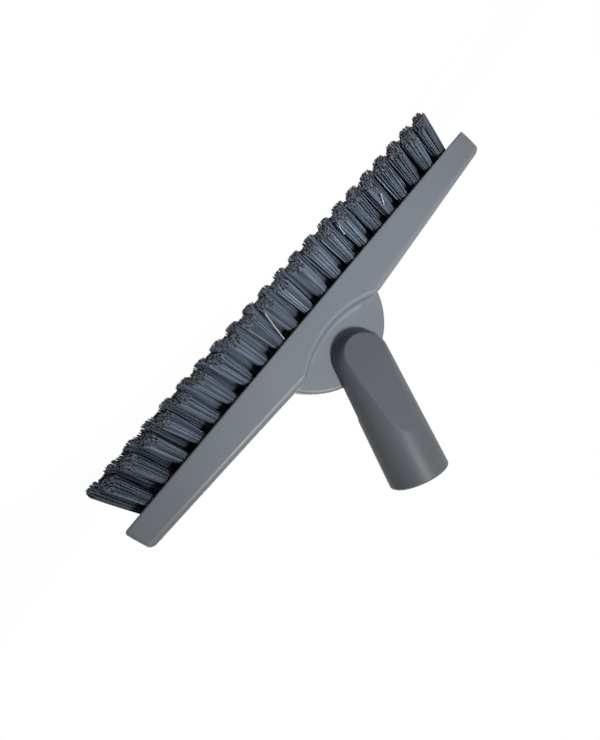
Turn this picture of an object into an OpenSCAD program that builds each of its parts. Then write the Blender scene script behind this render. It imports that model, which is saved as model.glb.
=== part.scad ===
// Swivel grout brush: a long narrow moulded block carries three staggered rows of
// bristle tufts that are trimmed to a V, and a pole socket laps the block's lug and swivels on it.
// X runs along the block, Z points from the bristles to the pole, and the swivel turns about Y.
// The origin is on the surface that the bristle tips stand on, under the block's middle.

/* [Block] */
// Length of the block
block_l = 230; // [180:1:300]
// Thickness of the block from front to back
block_t = 19.2; // [17:0.2:26]
// Height of the block at its two ends
end_h = 12.3; // [11:0.1:14]
// Height of the shoulders beside the lug
shoulder_h = 17.3; // [16:0.1:17.5]
// Distance of each shoulder from the block's middle
shoulder_x = 28; // [25:0.5:32]
// Lean of the end faces towards the middle, in degrees
end_lean = 12; // [0:1:20]
// Radius of the end corners on the bristle side
corner_low_r = 1.8; // [0.8:0.1:3]
// Radius of the end corners on the pole side
corner_high_r = 2.8; // [1:0.1:4]
// Radius of the long edges on the pole side
back_edge_r = 3; // [1:0.1:4]
// Radius of the long edges on the bristle side
face_edge_r = 0.8; // [0.3:0.1:1.5]
// Radius of the four upright edges
upright_edge_r = 3; // [1:0.1:5]

/* [Scallop before the lug] */
// Radius of the scallop in the front of the block
scallop_r = 50; // [45:1:60]
// Height of the block at the bottom of the scallop
scallop_floor = 10.5; // [9.5:0.1:12]
// Rounding of the scallop's rim
scallop_edge_r = 2; // [0.5:0.1:3]
// Rounding where the scallop meets the lug
cove_r = 2.5; // [0.5:0.1:3]
// Rounding of the shoulders
shoulder_r = 12; // [4:1:20]

/* [Lug] */
// Radius of the lug's round edge
lug_r = 33.9; // [32.4:0.1:35]
// Height of that edge's centre above the bristle face
lug_rise = 2.7; // [1:0.1:4]
// Thickness of the lug, which is flush with the back of the block
lug_t = 9; // [8:0.1:9.4]
// Rounding of the lug's rim
lug_edge_r = 1.6; // [0.5:0.1:2]

/* [Swivel] */
// Height of the swivel axis above the bristle face
pivot_h = 30.6; // [30.3:0.1:33]
// Tilt of the socket as photographed, in degrees
rest_tilt = 24; // [-60:1:60]
// Diameter of the pivot screw's shank
pin_d = 4.2; // [3.6:0.1:4.6]
// Diameter of the pivot screw's head
head_d = 7.6; // [7:0.1:8.2]
// Height of the pivot screw's head
head_h = 2.2; // [1.5:0.1:2.4]
// Depth of the seat that the head is sunk in
seat_depth = 2.5; // [2.4:0.1:3.2]
// Radial clearance of the shank in the lug and the ear
pin_clearance = 0.05; // [0.02:0.01:0.1]
// Gap between the lug and the ear
ear_gap = 0.3; // [0.15:0.05:0.5]
// Depth of the screw's blind hole in the ear
blind_depth = 6; // [4:0.1:6.2]

/* [Pole socket] */
// Outer diameter of the socket at its mouth
socket_d = 27.9; // [27.2:0.1:29]
// Outer diameter of the socket at the swivel axis
ear_d = 26; // [25.6:0.1:27.2]
// Distance from the swivel axis to the socket's mouth
socket_reach = 58.2; // [55:0.2:70]
// Distance from the swivel axis at which the lap of the ear over the lug ends
lap_depth = 24.4; // [24.2:0.1:27]
// Distance of the ear's flat from the tube's middle, at the swivel axis
flat_h = 9.2; // [8.8:0.1:10]
// Slope of the ear's flat, in degrees
flat_slope = 7; // [4:0.5:8]
// Diameter of the bore for the pole
pole_d = 22.2; // [20:0.1:23]
// Depth of the bore for the pole
pole_depth = 25.5; // [20:0.5:26]
// Rounding of the mouth's outer edge
mouth_edge_r = 1.2; // [0.5:0.1:2]
// Chamfer of the mouth's inner edge
mouth_chamfer = 0.8; // [0.3:0.1:1.2]

/* [Bristles] */
// Number of tufts in the front row and in the rear row, with one more in the middle row
side_tufts = 21; // [9:2:21]
// Distance of the middle row's end tufts from the block's ends
end_margin = 10; // [9:0.5:20]
// Distance of the front and rear rows from the middle row
row_offset = 5.3; // [5.2:0.1:5.5]
// Distance behind the face at which all the tufts' axes would meet
fan_r = 363; // [250:1:600]
// Distance behind the face at which one tuft's strands would meet
flare_l = 38; // [34:1:80]
// Length of the bristles at the ridge, in mid-length, before the tips are dressed
ridge_l = 23.2; // [18:0.1:30]
// Amount by which the ridge is shorter at the block's ends
ridge_crown = 1; // [0:0.1:2]
// Slope of the two trimmed sides, in degrees
trim_angle = 43; // [20:1:50]
// Amount dressed off the ridge so that the tips stand level
ridge_flat = 0.5; // [0.3:0.1:1]
// Diameter of each tuft hole
hole_d = 5.2; // [4.6:0.1:5.4]
// Depth of each tuft hole
hole_depth = 8.5; // [7:0.1:9]
// Strands in the ring of a tuft, round the one in its middle
ring_strands = 6; // [5:1:6]
// Radius of one strand at the face
strand_r = 0.54; // [0.3:0.02:0.56]

/* [Tuft anchors] */
// Length of the flat wire that holds a tuft in its hole
anchor_l = 6; // [5.6:0.1:6.4]
// Thickness of the wire
anchor_t = 0.4; // [0.3:0.05:0.6]
// Width of the wire along the hole
anchor_w = 1.6; // [1:0.1:2]
// Distance of the wire from the hole's floor
anchor_rise = 0.9; // [0.5:0.1:1.5]

/* [Hidden] */
$fn = 96;
// Overrun of every cutting tool
over = 1.5;
// Radial clearance of a tuft's root in its hole
root_clearance = 0.05;
// Distance of the root's end below the bristle face
root_recess = 0.8;
// Gap between the ring of strands and the hole's wall at the face
strand_gap = 0.1;
// Length of a strand inside its root
strand_embed = 1;
// Gap round the screw's head
head_clearance = 0.25;
// Gap between the screw's tip and the bottom of the blind hole
tip_gap = 0.3;
// Sizes of the cross recess in the screw's head
cross_l = 4.2;
cross_w = 0.9;
cross_depth = 1.1;
// Chamfer of the screw's tip and rounding of its head
tip_chamfer = 0.6;
head_edge_r = 0.9;

// Height of the bristle face above the surface that the tips stand on
face_z = ridge_l - ridge_flat;
pivot_z = face_z + pivot_h;
socket_r = socket_d / 2;
ear_r = ear_d / 2;
pole_r = pole_d / 2;
pin_r = pin_d / 2;
// Slope of the block's back, in degrees
back_slope = atan((shoulder_h - end_h) / (block_l / 2 - shoulder_x));
scallop_centre_h = scallop_floor + scallop_r;
// Places of the lug's front face, of the ear's face behind it and of the screw head's seat
lug_y = block_t / 2 - lug_t;
lap_y = lug_y - ear_gap;
seat_y = block_t / 2 - seat_depth;
middle_tufts = side_tufts + 1;
// Distance between the tufts of one row
tuft_pitch = (block_l - 2 * end_margin) / (middle_tufts - 1);
// Radius of the ring of strands at the face
ring_r = hole_d / 2 - strand_gap - strand_r;

// A pair is the front row's tuft and the rear row's tuft at one place along the block
pair_names = [for (i = [1:side_tufts]) str("tuft_pair_", i)];
middle_names = [for (i = [1:middle_tufts]) str("tuft_middle_", i)];

// Place of a tuft along the row, counted from the row's middle
function tuft_x(i, count) = (i - (count + 1) / 2) * tuft_pitch;
// Lean of the tuft at x, in degrees
function tuft_lean(x) = atan(x / fan_r);
// Points along an arc about a centre
function arc_points(c, r, from, to, steps) =
    [for (k = [0:steps]) let (a = from + (to - from) * k / steps) c + r * [cos(a), sin(a)]];

// Length of the bristles at the ridge for the tufts at x
function ridge_at(x) = ridge_l - ridge_crown * pow(2 * x / block_l, 2);

// Distance along a strand's edge at which one side of the trimmed V cuts it. p is where the
// edge starts on the face, in the tuft's own plane, and row_y is the tuft's row.
function side_length(p, x, row_y, side) =
    let (
        lean = tuft_lean(x),
        slope = tan(trim_angle)
    )
    (ridge_at(x) - slope * side * (row_y + p[1]) + p[0] * sin(lean))
        / (cos(lean) + (slope * side * p[1] - p[0] * sin(lean)) / flare_l);

// Distance along it at which the level of the dressed tips cuts it
function level_length(p, x) =
    let (lean = tuft_lean(x))
    (face_z + p[0] * sin(lean)) / (cos(lean) - p[0] * sin(lean) / flare_l);

function trim_length(p, x, row_y) =
    min(side_length(p, x, row_y, -1), side_length(p, x, row_y, 1), level_length(p, x));

// Point on a strand's edge at a distance below the face
function edge_point(p, depth) = let (k = 1 + depth / flare_l) [p[0] * k, p[1] * k, -depth];

// One three-sided strand whose foot on the face is centred at c
module strand(c, turn, x, row_y) {
    foot = [for (a = [0, 120, 240]) c + strand_r * [cos(a + turn), sin(a + turn)]];
    low = [for (p = foot) edge_point(p, -strand_embed - root_recess)];
    tip = [for (p = foot) edge_point(p, trim_length(p, x, row_y))];
    polyhedron(points = concat(low, tip),
               faces = [[2, 1, 0], [3, 4, 5], [0, 1, 4], [0, 4, 3],
                        [1, 2, 5], [1, 5, 4], [2, 0, 3], [2, 3, 5]]);
}

// Moves its children from a tuft's own frame, with -Z along the tuft, to the block
module at_tuft(x, row_y) {
    translate([x, row_y, face_z]) rotate([0, -tuft_lean(x), 0]) children();
}

module anchor() {
    translate([-anchor_l / 2, -anchor_t / 2, hole_depth - anchor_rise - anchor_w])
        cube([anchor_l, anchor_t, anchor_w]);
}

// Root folded round its anchor in the hole, and the strands that fan out of it
module tuft(x, row_y) {
    color([0.33, 0.38, 0.43]) at_tuft(x, row_y) union() {
        difference() {
            translate([0, 0, root_recess])
                cylinder(h = hole_depth - root_recess, r = hole_d / 2 - root_clearance, $fn = 32);
            anchor();
        }
        strand([0, 0], 0, x, row_y);
        for (k = [0:ring_strands - 1]) let (a = 360 * (k + 0.5) / ring_strands)
            strand(ring_r * [cos(a), sin(a)], a, x, row_y);
    }
}

module tuft_pair(i) {
    x = tuft_x(i, side_tufts);
    tuft(x, -row_offset);
    tuft(x, row_offset);
}

// Runs its children once at every tuft
module each_tuft() {
    for (i = [1:side_tufts], row_y = [-row_offset, row_offset])
        at_tuft(tuft_x(i, side_tufts), row_y) children();
    for (i = [1:middle_tufts]) at_tuft(tuft_x(i, middle_tufts), 0) children();
}

// Half of the block's side outline, from the middle to the end, standing on the bristle face
module half_outline() {
    lean = tan(end_lean);
    end_x = block_l / 2;
    slope = tan(back_slope);
    // Centres of the corner arcs, each one radius inside the two sides that it joins
    low_c = [end_x - corner_low_r * (1 + sin(end_lean)) / cos(end_lean), corner_low_r];
    high_z = end_h - corner_high_r / cos(back_slope);
    high_c = [end_x - high_z * lean - corner_high_r / cos(end_lean), high_z];
    // Centre of the shoulder's arc, touching the back's slope and the scallop
    gap_h = shoulder_h + shoulder_x * slope - shoulder_r / cos(back_slope);
    rise = scallop_centre_h - gap_h;
    span = scallop_r + shoulder_r;
    m = 1 + slope * slope;
    round_x = (-rise * slope + sqrt(rise * rise * slope * slope - m * (rise * rise - span * span))) / m;
    round_c = [round_x, gap_h - round_x * slope];
    bite = atan((scallop_centre_h - round_c[1]) / round_c[0]);
    polygon(concat(
        [[0, 0]],
        arc_points(low_c, corner_low_r, -90, -end_lean, 6),
        arc_points(high_c, corner_high_r, end_lean, 90 - back_slope, 8),
        arc_points(round_c, shoulder_r, 90 - back_slope, 180 - bite, 6),
        [[0, round_c[1] + shoulder_r * sin(bite)]]));
}

// Section across a bar as thick as the block, hanging from its rounded top edges
module bar_section(edge_r, height) {
    translate([-block_t / 2, -height]) square([block_t, height - edge_r]);
    translate([edge_r - block_t / 2, -height]) square([block_t - 2 * edge_r, height]);
    for (side = [-1, 1])
        translate([side * (block_t / 2 - edge_r), -edge_r]) circle(edge_r);
}

// Bar under one slope of the block's back
module half_bar() {
    top = shoulder_h + (shoulder_x + over) * tan(back_slope);
    length = (block_l / 2 + 2 * over) / cos(back_slope);
    translate([-over, 0, top]) rotate([0, back_slope, 0]) rotate([90, 0, 90])
        linear_extrude(length) bar_section(back_edge_r, top + over);
}

// Bar with its rounded edges at the bristle face
module face_bar() {
    rotate([90, 0, 90]) linear_extrude(block_l, center = true)
        mirror([0, 1]) bar_section(face_edge_r, pivot_h);
}

// Plan outline of the block with its upright edges rounded
module plan_prism() {
    inner_l = block_l - 2 * upright_edge_r;
    inner_t = block_t - 2 * upright_edge_r;
    linear_extrude(pivot_h) union() {
        square([inner_l, block_t], center = true);
        square([block_l, inner_t], center = true);
        for (sx = [-1, 1], sy = [-1, 1])
            translate([sx * inner_l / 2, sy * inner_t / 2]) circle(upright_edge_r);
    }
}

// Cutter for the scallop before the lug, flared where its rim is rounded
module scallop_cutter() {
    depth = block_t / 2 + lug_y;
    translate([0, lug_y, scallop_centre_h]) rotate([90, 0, 0]) rotate_extrude($fn = 180)
        difference() {
            union() {
                square([scallop_r - cove_r, depth + over]);
                translate([0, cove_r]) square([scallop_r + scallop_edge_r, depth + over - cove_r]);
                translate([scallop_r - cove_r, cove_r]) circle(cove_r);
            }
            translate([scallop_r, 0]) square([scallop_edge_r + over, depth - scallop_edge_r]);
            translate([scallop_r + scallop_edge_r, depth - scallop_edge_r]) circle(scallop_edge_r);
        }
}

// Round lug at the back of the block, with a rounded rim
module lug() {
    straight = lug_t - 2 * lug_edge_r;
    translate([0, lug_y + lug_t / 2, 0]) intersection() {
        translate([0, 0, lug_rise]) rotate([90, 0, 0]) rotate_extrude($fn = 180) union() {
            translate([0, -lug_t / 2]) square([lug_r - lug_edge_r, lug_t]);
            translate([0, -straight / 2]) square([lug_r, straight]);
            for (side = [-1, 1])
                translate([lug_r - lug_edge_r, side * straight / 2]) circle(lug_edge_r);
        }
        translate([-lug_r - over, -lug_t, scallop_floor / 2])
            cube([2 * (lug_r + over), 2 * lug_t, lug_r + lug_rise]);
    }
}

module brush_block() {
    color([0.46, 0.49, 0.52]) difference() {
        translate([0, 0, face_z]) union() {
            difference() {
                intersection() {
                    rotate([90, 0, 0]) linear_extrude(2 * block_t, center = true) union() {
                        half_outline();
                        mirror([1, 0]) half_outline();
                    }
                    union() {
                        half_bar();
                        mirror([1, 0, 0]) half_bar();
                    }
                    face_bar();
                    plan_prism();
                }
                scallop_cutter();
            }
            lug();
        }
        // Screw's hole through the lug and its head's seat
        translate([0, 0, pivot_z]) rotate([-90, 0, 0]) {
            translate([0, 0, lug_y - over]) cylinder(h = lug_t + 2 * over, r = pin_r + pin_clearance);
            translate([0, 0, seat_y]) cylinder(h = seat_depth + over, r = head_d / 2 + head_clearance);
        }
        each_tuft() {
            translate([0, 0, -2 * over]) cylinder(h = hole_depth + 2 * over, r = hole_d / 2, $fn = 32);
            anchor();
        }
    }
}

// Swings its children, drawn with the socket's axis along +Z from the pivot, to the rest pose
module at_pivot() {
    translate([0, 0, pivot_z]) rotate([0, rest_tilt, 0]) children();
}

module swivel_socket() {
    flat_low = ear_r + over;
    flat_high = socket_reach + over;
    slope = tan(flat_slope);
    color([0.40, 0.42, 0.44]) at_pivot() difference() {
        // Tube with a domed end at the pivot, widening to a rounded mouth
        rotate_extrude() union() {
            intersection() {
                circle(ear_r);
                translate([0, -ear_r]) square(ear_r);
            }
            polygon([[0, 0], [ear_r, 0], [socket_r, socket_reach - mouth_edge_r],
                     [0, socket_reach - mouth_edge_r]]);
            square([socket_r - mouth_edge_r, socket_reach]);
            translate([socket_r - mouth_edge_r, socket_reach - mouth_edge_r]) circle(mouth_edge_r);
        }
        // Sloping flat of the ear
        rotate([90, 0, 90]) linear_extrude(2 * socket_d, center = true) polygon([
            [-flat_h + flat_low * slope, -flat_low], [-flat_h - flat_high * slope, flat_high],
            [-2 * socket_d, flat_high], [-2 * socket_d, -flat_low]]);
        // Half of the tube cut away for the lug
        translate([-socket_d, lap_y, -socket_d]) cube([2 * socket_d, socket_d, socket_d + lap_depth]);
        // Bore for the pole, chamfered at the mouth
        translate([0, 0, socket_reach - pole_depth]) cylinder(h = pole_depth + over, r = pole_r);
        translate([0, 0, socket_reach - mouth_chamfer])
            cylinder(h = mouth_chamfer + over, r1 = pole_r, r2 = pole_r + mouth_chamfer + over);
        // Blind hole that the screw is driven into
        translate([0, lap_y + over, 0]) rotate([90, 0, 0])
            cylinder(h = blind_depth + over, r = pin_r + pin_clearance);
    }
}

module pivot_screw() {
    shank_l = seat_y - lap_y + blind_depth - tip_gap;
    color([0.72, 0.72, 0.70]) at_pivot() rotate([-90, 0, 0]) difference() {
        rotate_extrude() union() {
            translate([0, seat_y - shank_l + tip_chamfer]) square([pin_r, shank_l - tip_chamfer]);
            translate([0, seat_y - shank_l]) polygon([[0, 0], [pin_r - tip_chamfer, 0],
                [pin_r, tip_chamfer], [0, tip_chamfer]]);
            translate([0, seat_y]) square([head_d / 2, head_h - head_edge_r]);
            translate([0, seat_y]) square([head_d / 2 - head_edge_r, head_h]);
            translate([head_d / 2 - head_edge_r, seat_y + head_h - head_edge_r]) circle(head_edge_r);
        }
        for (turn = [0, 90]) rotate(turn)
            translate([-cross_l / 2, -cross_w / 2, seat_y + head_h - cross_depth])
                cube([cross_l, cross_w, cross_depth + over]);
    }
}

module tuft_anchors() {
    color([0.78, 0.74, 0.62]) each_tuft() anchor();
}

brush_block();
swivel_socket();
pivot_screw();
tuft_anchors();
for (i = [1:side_tufts])
    tuft_pair(i);
for (i = [1:middle_tufts])
    tuft(tuft_x(i, middle_tufts), 0);
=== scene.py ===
import math
import random

import bpy
from mathutils import Matrix, Vector


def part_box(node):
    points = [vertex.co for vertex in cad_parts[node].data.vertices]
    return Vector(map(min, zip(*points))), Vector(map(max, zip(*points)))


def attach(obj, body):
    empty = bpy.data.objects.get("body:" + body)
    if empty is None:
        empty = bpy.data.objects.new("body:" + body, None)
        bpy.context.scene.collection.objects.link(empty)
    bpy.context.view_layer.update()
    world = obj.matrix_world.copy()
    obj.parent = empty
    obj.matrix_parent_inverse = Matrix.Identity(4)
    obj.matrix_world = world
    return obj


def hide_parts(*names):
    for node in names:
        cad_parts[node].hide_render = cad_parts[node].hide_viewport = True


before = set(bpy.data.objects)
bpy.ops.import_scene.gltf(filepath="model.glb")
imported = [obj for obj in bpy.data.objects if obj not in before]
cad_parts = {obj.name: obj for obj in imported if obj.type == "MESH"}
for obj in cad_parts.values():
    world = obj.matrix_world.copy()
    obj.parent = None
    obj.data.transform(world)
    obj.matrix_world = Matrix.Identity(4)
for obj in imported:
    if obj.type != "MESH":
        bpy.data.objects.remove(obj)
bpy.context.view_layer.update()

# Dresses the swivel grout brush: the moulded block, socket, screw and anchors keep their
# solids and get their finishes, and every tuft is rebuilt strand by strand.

MM = 0.001

# Sizes of the brush, as its solids have them, in metres
FACE_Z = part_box("brush_block")[0].z
BLOCK_L = 230 * MM
SIDE_TUFTS = 21
MIDDLE_TUFTS = 22
TUFT_PITCH = 10 * MM
# Distance of the front and the rear row from the middle one
ROW_OFFSET = 5.3 * MM
# How far above the face the tufts of a row, and the strands of a tuft, would meet
FAN_REACH = 363 * MM
FLARE_REACH = 38 * MM
# How far the V's ridge stands below the face, how much less at the block's ends, and the
# angle of its sides
RIDGE_L = 23.2 * MM
RIDGE_CROWN = 1 * MM
TRIM_ANGLE = math.radians(43)
# How far from the middle the end tufts reach
END_REACH = 114.45 * MM

# One bristle strand, from its root in the hole to an end that the trim cuts off
STRAND_R = 0.25 * MM
STRAND_SIDES = 5
STRAND_ROOT = 5.6 * MM
STRAND_REACH = 26 * MM
STRAND_STEPS = 5
STRAND_BEND_MM = 0.55
STRAND_KINDS = 10
SMOOTH_ANGLE = math.radians(60)

# One tuft, whose strands stand in a spiral of golden turns
STRANDS = 100
FOOT_R = 2.5 * MM
GOLDEN_TURN = math.pi * (3 - math.sqrt(5))
LEAN_SPREAD = math.radians(0.65)
# Amounts by which a tuft's strands are shorter from its middle to its rim, and the scatter
# of that order as a share of the strands
CROWN_STEPS = (0, 0.2 * MM, 0.5 * MM, 1.0 * MM, 1.7 * MM)
CROWN_SPREAD = 0.06

# The fillers between the middle tufts: strands, foot, and the amount by which they are
# shorter than the tufts beside them, at the two ends of the row
FILLER_STRANDS = int(STRANDS * 0.72)
FILLER_FOOT_R = FOOT_R * 0.86
FILLER_DROPS = (2.7 * MM, 0.9 * MM)

# Foot and tip, in millimetres, of the single strands that stand out of a pair's front tuft
STRAYS = {
    "tuft_pair_5": ((-59.7, -8.4, 16.6), (-61.35, -9.8, 13.2)),
    "tuft_pair_8": ((-36.3, -7.9, 11.8), (-37.1, -8.3, 8.4)),
    "tuft_pair_13": ((17.2, -7.2, 21.6), (14.5, -8.6, 9.0)),
}

# Points closer than this merge where a strand is cut
CUT_MERGE = 1e-6
# Faces that look down more than this are cut ends
CUT_NORMAL_Z = -0.6

# Darkest and lightest tone of the strands, and the share of it that they keep at their roots, which
# is painted shade at the roots
OUTER_TONES = (0.07, 0.88, 0.6)
# The middle row's tones are lower than the outer rows' as painted shade, and its roots keep less of
# them as deeper painted shade
MIDDLE_SHADED_TONES = (0.02, 0.6, 0.12)
# The fillers are near black: painted shade, dark strands put where the gaps between the tufts are in
# deep shade
FILLER_SHADE_TONES = (0.0, 0.03, 0.5)
# The strays are painted light: the palest tone, for strands lit where they stand out in front
STRAY_LIT_TONE = 1.0
# Both shape values of the beta curve that the tones follow, where 1 is even
TONE_SHAPE = 1.3
# How far below the face the painted shade at the strands' roots reaches
ROOT_SHADE_DEPTH = 2 * MM
# Colours over the tone, and over the flecks of the cut ends; the near-black lowest stops carry
# painted shade, and the pale top stop painted light for the strays
STRAND_COLOURS = (
    (0.0, (0.007, 0.009, 0.012)),
    (0.1, (0.038, 0.047, 0.062)),
    (0.3, (0.094, 0.118, 0.156)),
    (0.9, (0.29, 0.35, 0.45)),
    (1.0, (0.58, 0.63, 0.70)),
)
CUT_COLOURS = (
    (0.35, (0.09, 0.10, 0.11)),
    (0.62, (0.66, 0.71, 0.76)),
)
STRAND_GLOSS = 0.12

# Darker and lighter colour of the other finishes
BLOCK_COLOURS = (0.168, 0.190, 0.216), (0.190, 0.212, 0.238)
SOCKET_COLOURS = (0.107, 0.116, 0.130), (0.124, 0.134, 0.150)
SCREW_COLOURS = (0.42, 0.42, 0.41), (0.66, 0.66, 0.64)
ANCHOR_COLOURS = (0.42, 0.34, 0.18), (0.76, 0.66, 0.40)

# Colour and strength of the light from all around
AMBIENT_COLOUR = (0.95, 0.97, 1.0)
AMBIENT = 0.035
# The floor: its side, where it starts and ends to fade, its grey and its glow in the picture
FLOOR_L = 6
FLOOR_FADE = (0.1, 0.6)
FLOOR_GREY = 0.07
FLOOR_GLOW = (0.955, 1.0)

# The middle of the brush, which the side and back lamps aim at
CENTRE = (0, 0, 0.04)

# The camera, which is close to the brush, level with the bristle face and rolled
CAMERA_LENS = 21.89
CAMERA_SENSOR = 36
CAMERA_NEAR = 0.01
CAMERA_PLACE = (0.0587, -0.1918, FACE_Z + 0.001)
CAMERA_AIM = (0.02356, -0.0096, FACE_Z + 0.01235)
CAMERA_ROLL = math.radians(129.92)

chance = random.Random(21)


def clear_selection():
    """Leaves object mode with nothing selected."""
    if bpy.context.mode != "OBJECT":
        bpy.ops.object.mode_set(mode="OBJECT")
    bpy.ops.object.select_all(action="DESELECT")


def select(pieces):
    """Selects just these pieces, with the first one active."""
    clear_selection()
    for piece in pieces:
        piece.select_set(True)
    bpy.context.view_layer.objects.active = pieces[0]


def join(pieces):
    """Joins the pieces into the first one and returns it."""
    select(pieces)
    bpy.ops.object.join()
    return bpy.context.active_object


def finish_material(name, base, roughness):
    """New material with its shader's plain values set. Returns material, nodes, links, shader."""
    material = bpy.data.materials.new(name)
    material.use_nodes = True
    nodes, links = material.node_tree.nodes, material.node_tree.links
    shader = nodes["Principled BSDF"]
    shader.inputs["Base Color"].default_value = (*base, 1)
    shader.inputs["Roughness"].default_value = roughness
    return material, nodes, links, shader


def add_noise(nodes, links, scale, detail, stretch=(1, 1, 1)):
    """Noise over the piece's own coordinates, scale in cells a metre."""
    place = nodes.new("ShaderNodeTexCoord")
    mapping = nodes.new("ShaderNodeMapping")
    noise = nodes.new("ShaderNodeTexNoise")
    mapping.inputs["Scale"].default_value = stretch
    noise.inputs["Scale"].default_value = scale
    noise.inputs["Detail"].default_value = detail
    links.new(place.outputs["Object"], mapping.inputs["Vector"])
    links.new(mapping.outputs["Vector"], noise.inputs["Vector"])
    return noise.outputs["Fac"]


def add_ramp(nodes, links, source, stops):
    """Colour over a value, by stops of (place, colour) in rising order."""
    ramp = nodes.new("ShaderNodeValToRGB")
    elements = ramp.color_ramp.elements
    for element, (place, colour) in zip(elements, (stops[0], stops[-1])):
        element.position = place
        element.color = (*colour, 1)
    for place, colour in stops[1:-1]:
        elements.new(place).color = (*colour, 1)
    links.new(source, ramp.inputs["Fac"])
    return ramp.outputs["Color"]


def add_range(nodes, links, source, low, high):
    """Value from 0..1 brought to low..high."""
    span = nodes.new("ShaderNodeMapRange")
    span.inputs["To Min"].default_value = low
    span.inputs["To Max"].default_value = high
    links.new(source, span.inputs["Value"])
    return span.outputs["Result"]


def add_bump(nodes, links, shader, height, distance):
    """Relief over a value, as deep as distance."""
    bump = nodes.new("ShaderNodeBump")
    bump.inputs["Distance"].default_value = distance
    links.new(height, bump.inputs["Height"])
    links.new(bump.outputs["Normal"], shader.inputs["Normal"])
    return bump


def moulded_plastic(name, colours, roughness, gloss, rounding):
    """Satin moulded polypropylene: cloudy pigment, fine grain and softened edges."""
    dark, light = colours
    material, nodes, links, shader = finish_material(name, light, roughness)
    shader.inputs["Specular IOR Level"].default_value = gloss
    cloud = add_noise(nodes, links, scale=28, detail=3)
    tint = add_ramp(nodes, links, cloud, [(0.3, dark), (0.7, light)])
    links.new(tint, shader.inputs["Base Color"])
    sheen = add_noise(nodes, links, scale=160, detail=4)
    matt = add_range(nodes, links, sheen, low=roughness - 0.07, high=roughness + 0.09)
    links.new(matt, shader.inputs["Roughness"])
    grain = add_noise(nodes, links, scale=2600, detail=2)
    bump = add_bump(nodes, links, shader, grain, distance=0.012 * MM)
    soft = nodes.new("ShaderNodeBevel")
    soft.samples = 6
    soft.inputs["Radius"].default_value = rounding
    links.new(soft.outputs["Normal"], bump.inputs["Normal"])
    return material


def drawn_metal(name, colours, roughness, stretch):
    """Bright metal with drawn or turned streaks and a few dull patches."""
    dark, light = colours
    material, nodes, links, shader = finish_material(name, light, roughness)
    shader.inputs["Metallic"].default_value = 1
    patch = add_noise(nodes, links, scale=420, detail=3)
    tint = add_ramp(nodes, links, patch, [(0.3, dark), (0.65, light)])
    links.new(tint, shader.inputs["Base Color"])
    matt = add_range(nodes, links, patch, low=roughness + 0.15, high=roughness - 0.05)
    links.new(matt, shader.inputs["Roughness"])
    streak = add_noise(nodes, links, scale=3000, detail=2, stretch=stretch)
    add_bump(nodes, links, shader, streak, distance=0.02 * MM)
    return material


def strand_finish():
    """Nylon strands, each with a tone of its own kept in the tone attribute."""
    material, nodes, links, shader = finish_material("bristle_strand", (0.1, 0.13, 0.17), 0.42)
    shader.inputs["Specular IOR Level"].default_value = STRAND_GLOSS
    tone = nodes.new("ShaderNodeAttribute")
    tone.attribute_name = "tone"
    tint = add_ramp(nodes, links, tone.outputs["Fac"], STRAND_COLOURS)
    links.new(tint, shader.inputs["Base Color"])
    drawn = add_noise(nodes, links, scale=900, detail=2, stretch=(1, 1, 0.08))
    matt = add_range(nodes, links, drawn, low=0.34, high=0.5)
    links.new(matt, shader.inputs["Roughness"])
    return material


def cut_finish():
    """Chopped ends of the strands, duller than their sides and flecked with light ones."""
    material, nodes, links, shader = finish_material("bristle_cut_end", (0.05, 0.06, 0.07), 0.7)
    shader.inputs["Specular IOR Level"].default_value = STRAND_GLOSS
    fleck = add_noise(nodes, links, scale=3200, detail=2)
    tint = add_ramp(nodes, links, fleck, CUT_COLOURS)
    links.new(tint, shader.inputs["Base Color"])
    return material


def model_strand(index):
    """One strand along -Z, drawn out step by step with a slight bend of its own."""
    clear_selection()
    bpy.ops.mesh.primitive_circle_add(vertices=STRAND_SIDES, radius=STRAND_R, fill_type="NGON",
                                      location=(0, 0, STRAND_ROOT))
    strand = bpy.context.active_object
    strand.name = f"strand_kind_{index}"
    bend = chance.uniform(0, STRAND_BEND_MM) * MM
    step = (STRAND_ROOT + STRAND_REACH) / STRAND_STEPS
    bpy.ops.object.mode_set(mode="EDIT")
    bpy.ops.mesh.select_all(action="SELECT")
    for k in range(STRAND_STEPS):
        drift = bend * (2 * k - STRAND_STEPS + 1) / STRAND_STEPS
        bpy.ops.mesh.extrude_region_move(TRANSFORM_OT_translate={"value": (drift, 0, -step)})
    bpy.ops.mesh.select_all(action="SELECT")
    bpy.ops.mesh.normals_make_consistent(inside=False)
    bpy.ops.object.mode_set(mode="OBJECT")
    bpy.ops.object.transform_apply(location=True, rotation=False, scale=False)
    bpy.ops.object.shade_smooth_by_angle(angle=SMOOTH_ANGLE)
    return strand


def copy_strand(kind, name, place):
    """A copy of a kind of strand, brought to its place."""
    strand = bpy.data.objects.new(name, kind.data.copy())
    bpy.context.scene.collection.objects.link(strand)
    strand.data.transform(place)
    return strand


def keep_tone(strand, tone, root_shade_share=1):
    """Keeps a strand's tone in its points, with a share of it near the face and in the hole as
    painted shade at the roots.
    """
    layer = strand.data.attributes.new("tone", "FLOAT", "POINT")
    layer.data.foreach_set("value", [
        tone * (root_shade_share if point.co.z > FACE_Z - ROOT_SHADE_DEPTH else 1)
        for point in strand.data.vertices])


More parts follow.
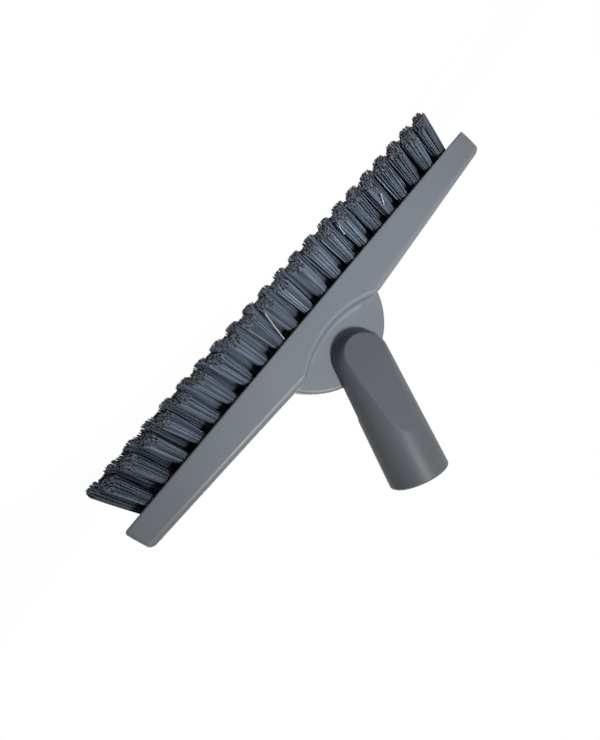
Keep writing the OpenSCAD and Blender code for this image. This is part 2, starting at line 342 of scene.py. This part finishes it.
def strand_place(k, count, foot_r, turn):
    """Where strand k of a tuft stands: fanned from its foot, with a little lean of its own."""
    out = foot_r * math.sqrt((k + 0.5) / count)
    way = k * GOLDEN_TURN + turn
    lean = math.atan(out / FLARE_REACH) + chance.gauss(0, LEAN_SPREAD)
    side = chance.gauss(0, LEAN_SPREAD)
    foot = Matrix.Translation((out * math.cos(way), out * math.sin(way), 0))
    flare = Matrix.Rotation(way, 4, "Z") @ Matrix.Rotation(-lean, 4, "Y")
    sway = Matrix.Rotation(side, 4, "X")
    return foot @ flare @ sway @ Matrix.Rotation(chance.uniform(0, 2 * math.pi), 4, "Z")


def crown_step(k, count):
    """Which cut strand k gets, so that the tip of the tuft is rounded and a little uneven."""
    out = (k + 0.5) / count + chance.gauss(0, CROWN_SPREAD)
    return min(max(int(out * len(CROWN_STEPS)), 0), len(CROWN_STEPS) - 1)


def tuft_place(x, row_y):
    """The tuft's own frame, leaning with its place along the fanned row."""
    lean = math.atan(x / FAN_REACH)
    return Matrix.Translation((x, row_y, FACE_Z)) @ Matrix.Rotation(-lean, 4, "Y")


def gather_batches(name, kinds, x, row_y, tones, count=STRANDS, foot_r=FOOT_R):
    """Copies strands into one tuft, in batches that are trimmed to slightly different lengths."""
    place = tuft_place(x, row_y)
    low, high, root_shade_share = tones
    turn = chance.uniform(0, 2 * math.pi)
    heaps = [[] for _ in CROWN_STEPS]
    for k in range(count):
        kind = chance.choice(kinds)
        strand = copy_strand(kind, f"{name}_strand", place @ strand_place(k, count, foot_r, turn))
        keep_tone(strand, low + (high - low) * chance.betavariate(TONE_SHAPE, TONE_SHAPE), root_shade_share)
        heaps[crown_step(k, count)].append(strand)
    return [join(heap) for heap in heaps]


def stray_strand(kind, foot, tip):
    """One strand that stands out of its tuft, from its foot to its tip, painted pale as painted
    light.
    """
    foot, tip = Vector(foot) * MM, Vector(tip) * MM
    turn = (tip - foot).to_track_quat("-Z", "Y").to_matrix().to_4x4()
    length = Matrix.Scale((tip - foot).length / STRAND_REACH, 4, (0, 0, 1))
    strand = copy_strand(kind, "stray_strand", Matrix.Translation(foot) @ turn @ length)
    keep_tone(strand, STRAY_LIT_TONE)
    return strand


def trim(batches, x, shorter):
    """Cuts the strands of the tufts at x to the V and levels its ridge, filling the cut ends."""
    select(batches)
    bpy.ops.object.mode_set(mode="EDIT")
    slope = math.tan(TRIM_ANGLE)
    ridge = FACE_Z - RIDGE_L + RIDGE_CROWN * (2 * x / BLOCK_L) ** 2 + shorter
    cuts = [
        ((0, 0, ridge), (0, slope, 1)),
        ((0, 0, ridge), (0, -slope, 1)),
        ((0, 0, shorter), (0, 0, 1)),
    ]
    if abs(x) > END_REACH - TUFT_PITCH:
        end = math.copysign(1, x)
        cuts.append(((end * END_REACH, 0, 0), (-end, 0, 0)))
    for at, kept in cuts:
        bpy.ops.mesh.select_all(action="SELECT")
        bpy.ops.mesh.bisect(plane_co=at, plane_no=kept, use_fill=True, clear_inner=True,
                            threshold=CUT_MERGE)
    bpy.ops.object.mode_set(mode="OBJECT")


def build_filler(node, kinds, x):
    """The batches of a shorter tuft between two of the middle row, darkened nearly to black as
    painted shade.
    """
    filler = gather_batches(f"{node}_filler", kinds, x, 0, FILLER_SHADE_TONES,
                            FILLER_STRANDS, FILLER_FOOT_R)
    first, last = FILLER_DROPS
    drop = first + (last - first) * (0.5 + x / BLOCK_L)
    for batch, shorter in zip(filler, CROWN_STEPS):
        trim([batch], x, drop + shorter)
    return filler


def finish_tuft(name, batches, sides, ends):
    """Joins a tuft's batches and gives its strands and their cut ends their finishes."""
    tuft = join(batches)
    tuft.name = name
    tuft.data.name = name
    tuft.data.materials.clear()
    tuft.data.materials.append(sides)
    tuft.data.materials.append(ends)
    for face in tuft.data.polygons:
        if face.normal.z < CUT_NORMAL_Z and face.center.z < FACE_Z:
            face.material_index = 1
            face.use_smooth = False
    return tuft


def build_node(node, x, rows, kinds, sides, ends):
    """Builds the tufts of one node at x, which take the place of its solids."""
    paired = len(rows) > 1
    # The middle row gets darker tones as painted shade
    tones = OUTER_TONES if paired else MIDDLE_SHADED_TONES
    tufts = [gather_batches(f"{node}_{k}", kinds, x, row_y, tones) for k, row_y in enumerate(rows)]
    for step, shorter in enumerate(CROWN_STEPS):
        trim([batches[step] for batches in tufts], x, shorter)
    if paired:
        tufts.append(build_filler(node, kinds, x))
    if node in STRAYS:
        tufts.append([stray_strand(kinds[0], *STRAYS[node])])
    tuft = finish_tuft(node.replace("tuft", "bristles"), sum(tufts, []), sides, ends)
    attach(tuft, "head")
    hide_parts(node)


def tuft_x(i, count):
    """Place of tuft i along a row of count, from the row's middle."""
    return (i - (count + 1) / 2) * TUFT_PITCH


def build_tufts():
    """Rebuilds the outer rows pair by pair, then the middle row."""
    sides, ends = strand_finish(), cut_finish()
    kinds = [model_strand(k) for k in range(STRAND_KINDS)]
    for i in range(1, SIDE_TUFTS + 1):
        rows = (-ROW_OFFSET, ROW_OFFSET)
        build_node(f"tuft_pair_{i}", tuft_x(i, SIDE_TUFTS), rows, kinds, sides, ends)
    for i in range(1, MIDDLE_TUFTS + 1):
        build_node(f"tuft_middle_{i}", tuft_x(i, MIDDLE_TUFTS), (0,), kinds, sides, ends)
    for kind in kinds:
        bpy.data.objects.remove(kind)


def give_finish(node, material):
    """Puts a finish on a solid that keeps its shape."""
    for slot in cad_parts[node].material_slots:
        slot.material = material


def finish_solids():
    """The finishes of the block, the socket, the screw and the anchors."""
    give_finish("brush_block", moulded_plastic(
        "block_plastic", BLOCK_COLOURS, roughness=0.42, gloss=0.5, rounding=0.3 * MM))
    give_finish("swivel_socket", moulded_plastic(
        "socket_plastic", SOCKET_COLOURS, roughness=0.44, gloss=0.3, rounding=1.2 * MM))
    give_finish("pivot_screw", drawn_metal(
        "screw_steel", SCREW_COLOURS, roughness=0.28, stretch=(0.05, 1, 0.05)))
    give_finish("tuft_anchors", drawn_metal(
        "anchor_wire", ANCHOR_COLOURS, roughness=0.3, stretch=(0.06, 1, 1)))


def white_for_camera(nodes, links):
    """1 for the rays that show a white background, 0 for those that light the brush."""
    path = nodes.new("ShaderNodeLightPath")
    seen = path.outputs["Is Camera Ray"]
    for ray in ("Is Glossy Ray", "Is Transmission Ray"):
        most = nodes.new("ShaderNodeMath")
        most.operation = "MAXIMUM"
        links.new(seen, most.inputs[0])
        links.new(path.outputs[ray], most.inputs[1])
        seen = most.outputs["Value"]
    return seen


def light_surroundings():
    """White surroundings with a soft even light."""
    world = bpy.data.worlds.new("studio")
    bpy.context.scene.world = world
    world.use_nodes = True
    nodes, links = world.node_tree.nodes, world.node_tree.links
    nodes.clear()
    out = nodes.new("ShaderNodeOutputWorld")
    mix = nodes.new("ShaderNodeMixShader")
    soft = nodes.new("ShaderNodeBackground")
    white = nodes.new("ShaderNodeBackground")
    soft.inputs["Color"].default_value = (*AMBIENT_COLOUR, 1)
    soft.inputs["Strength"].default_value = AMBIENT
    white.inputs["Color"].default_value = (1, 1, 1, 1)
    white.inputs["Strength"].default_value = 1
    links.new(white_for_camera(nodes, links), mix.inputs["Fac"])
    links.new(soft.outputs["Background"], mix.inputs[1])
    links.new(white.outputs["Background"], mix.inputs[2])
    links.new(mix.outputs["Shader"], out.inputs["Surface"])


def floor_finish():
    """Pale floor that keeps the brush's shadow and fades into the surroundings."""
    grey = (FLOOR_GREY, FLOOR_GREY, FLOOR_GREY)
    material, nodes, links, shader = finish_material("studio_floor", grey, 0.9)
    shader.inputs["Specular IOR Level"].default_value = 0
    place = nodes.new("ShaderNodeTexCoord")
    reach = nodes.new("ShaderNodeVectorMath")
    reach.operation = "LENGTH"
    links.new(place.outputs["Object"], reach.inputs[0])
    far = nodes.new("ShaderNodeMapRange")
    far.inputs["From Min"].default_value = FLOOR_FADE[0]
    far.inputs["From Max"].default_value = FLOOR_FADE[1]
    links.new(reach.outputs["Value"], far.inputs["Value"])
    tint = add_ramp(nodes, links, far.outputs["Result"], [(0.0, grey), (1.0, (0, 0, 0))])
    links.new(tint, shader.inputs["Base Color"])
    bright = nodes.new("ShaderNodeMath")
    bright.operation = "MULTIPLY"
    links.new(add_range(nodes, links, far.outputs["Result"], *FLOOR_GLOW), bright.inputs[0])
    links.new(white_for_camera(nodes, links), bright.inputs[1])
    glow = nodes.new("ShaderNodeEmission")
    links.new(bright.outputs["Value"], glow.inputs["Strength"])
    add = nodes.new("ShaderNodeAddShader")
    links.new(shader.outputs["BSDF"], add.inputs[0])
    links.new(glow.outputs["Emission"], add.inputs[1])
    links.new(add.outputs["Shader"], nodes["Material Output"].inputs["Surface"])
    return material


def lay_floor():
    """The floor that the bristle tips stand on."""
    clear_selection()
    bpy.ops.mesh.primitive_plane_add(size=FLOOR_L, location=(0, 0, 0))
    floor = bpy.context.active_object
    floor.name = "studio_floor"
    floor.data.materials.append(floor_finish())


def aimed(place, aim):
    """A frame at place whose -Z looks at aim."""
    place, aim = Vector(place), Vector(aim)
    turn = (aim - place).to_track_quat("-Z", "Y")
    return Matrix.Translation(place) @ turn.to_matrix().to_4x4()


def add_lamp(name, place, aim, size, power, spread=180):
    """Soft square lamp at place, turned to aim, whose beam fades towards spread degrees."""
    lamp = bpy.data.lights.new(name, "AREA")
    lamp.size = size
    lamp.spread = math.radians(spread)
    lamp.energy = power
    holder = bpy.data.objects.new(name, lamp)
    bpy.context.scene.collection.objects.link(holder)
    holder.matrix_world = aimed(place, aim)


def set_lamps():
    """A narrow key lamp in front, a lamp high at one side and one behind."""
    add_lamp("key_lamp", place=(0.075, -0.544, 0.323), aim=(-0.05, -0.01, 0.005),
             size=0.09, power=0.285, spread=48)
    add_lamp("side_lamp", place=(-0.32, -0.18, 0.62), aim=CENTRE, size=0.25, power=0.30)
    add_lamp("back_lamp", place=(0.15, 0.5, 0.4), aim=CENTRE, size=0.3, power=1.8)


def place_camera():
    """The camera, rolled as the brush is pictured."""
    camera = bpy.data.cameras.new("camera")
    camera.lens = CAMERA_LENS
    camera.sensor_width = CAMERA_SENSOR
    camera.clip_start = CAMERA_NEAR
    holder = bpy.data.objects.new("camera", camera)
    bpy.context.scene.collection.objects.link(holder)
    holder.matrix_world = aimed(CAMERA_PLACE, CAMERA_AIM) @ Matrix.Rotation(CAMERA_ROLL, 4, "Z")
    bpy.context.scene.camera = holder


place_camera()
finish_solids()
build_tufts()
light_surroundings()
lay_floor()
set_lamps()

bpy.context.scene.view_settings.view_transform = "Standard"
